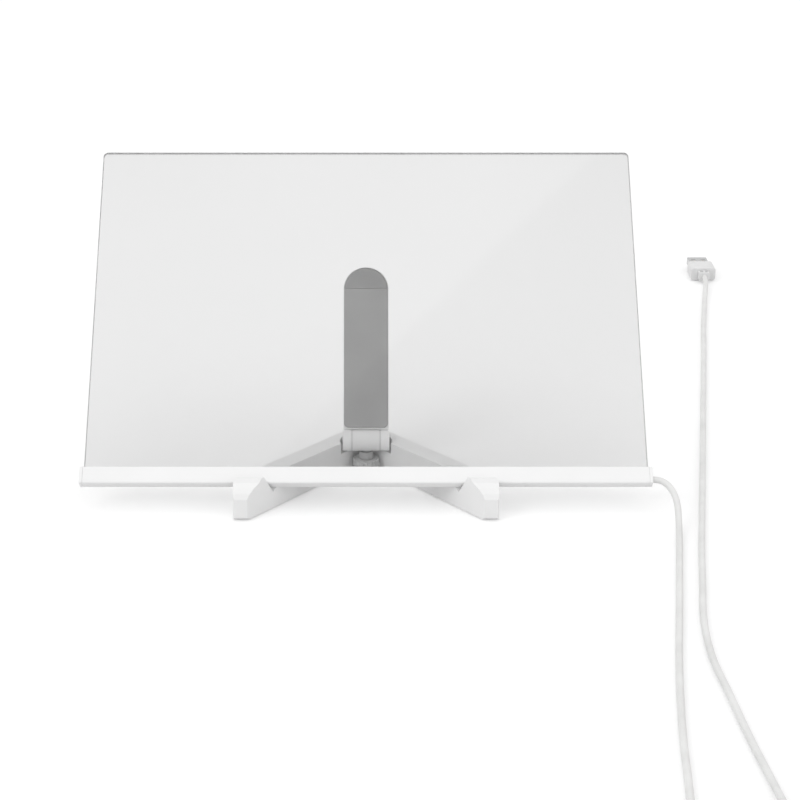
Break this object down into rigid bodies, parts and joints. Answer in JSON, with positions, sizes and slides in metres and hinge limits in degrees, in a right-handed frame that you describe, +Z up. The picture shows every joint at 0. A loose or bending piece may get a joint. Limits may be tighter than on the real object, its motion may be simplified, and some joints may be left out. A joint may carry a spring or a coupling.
{
  "type": "video magnifier",
  "caption": "Clear edge-lit display panel in a white rail with a USB lead, leaning on a folding V-leg stand with hooked feet and a padded back arm.",
  "frame": {"origin": "on the surface the stand rests on, under the middle of the stand and panel", "axes": "+X along the rail toward its lead, +Y from the hooks to the back, +Z up"},
  "size_m": [0.344, 0.6389, 0.1342],
  "materials": {
    "clear_sheet": "clear polished acrylic sheet",
    "rail_plastic": "white satin moulded plastic",
    "board": "white solder-masked board with lamps",
    "leg_plastic": "white satin moulded plastic",
    "foot_rubber": "dark grey moulded rubber",
    "steel": "plain turned steel",
    "collar_rubber": "dark grey ribbed rubber",
    "post_plastic": "dark grey moulded plastic",
    "knuckle_plastic": "white satin moulded plastic",
    "washer_nylon": "off-white nylon",
    "arm_plastic": "white satin moulded plastic",
    "pad_rubber": "mid grey soft-touch rubber",
    "tip_rubber": "darker grey soft-touch rubber",
    "cord_sheath": "pale grey flexible PVC sheath",
    "plug_plastic": "pale grey moulded plastic",
    "plug_steel": "nickel-plated pressed steel"
  },
  "bodies": {
    "hub": {"hinge_pin": "steel", "ribbed_collar": "collar_rubber", "hinge_post": "post_plastic", "hinge_knuckle": "knuckle_plastic", "washer_left": "washer_nylon", "washer_right": "washer_nylon"},
    "leg_left": {"leg_left": "leg_plastic", "foot_left_front": "foot_rubber", "foot_left_rear": "foot_rubber"},
    "leg_right": {"leg_right": "leg_plastic", "foot_right_front": "foot_rubber", "foot_right_rear": "foot_rubber"},
    "arm": {"arm_frame": "arm_plastic", "arm_pad": "pad_rubber", "arm_tip_pad": "tip_rubber", "cross_pin": "steel"},
    "panel": {"clear_panel": "clear_sheet", "rail_channel": "rail_plastic", "end_cap_left": "rail_plastic", "end_cap_right": "rail_plastic", "led_board": "board", "lead_bush": "cord_sheath", "lead_run_out": "cord_sheath", "lead_coil": "cord_sheath", "lead_run_back": "cord_sheath", "plug_relief": "plug_plastic", "plug_mould": "plug_plastic", "plug_shell": "plug_steel", "plug_tongue": "plug_plastic"}
  },
  "joints": [
    {"name": "panel_lift", "type": "slide", "parent": "hub", "child": "panel", "axis": [0, 0, 1], "range_m": [0, 0.3]},
    {"name": "arm_fold", "type": "hinge", "parent": "hub", "child": "arm", "pos_m": [0, -0.01678, 0.0163], "axis": [1, 0, 0], "range_deg": [0, 118]},
    {"name": "leg_left_fold", "type": "hinge", "parent": "hub", "child": "leg_left", "pos_m": [0, -0.01678, 0], "axis": [0, 0, 1], "range_deg": [0, 40]},
    {"name": "leg_right_fold", "type": "hinge", "parent": "hub", "child": "leg_right", "pos_m": [0, -0.01678, 0], "axis": [0, 0, -1], "range_deg": [0, 40]}
  ],
  "couplings": [
    {"joint": "arm_fold", "follows": "panel_lift", "rad_per_m": 6.86},
    {"joint": "leg_left_fold", "follows": "panel_lift", "rad_per_m": 2.32},
    {"joint": "leg_right_fold", "follows": "panel_lift", "rad_per_m": 2.32}
  ]
}
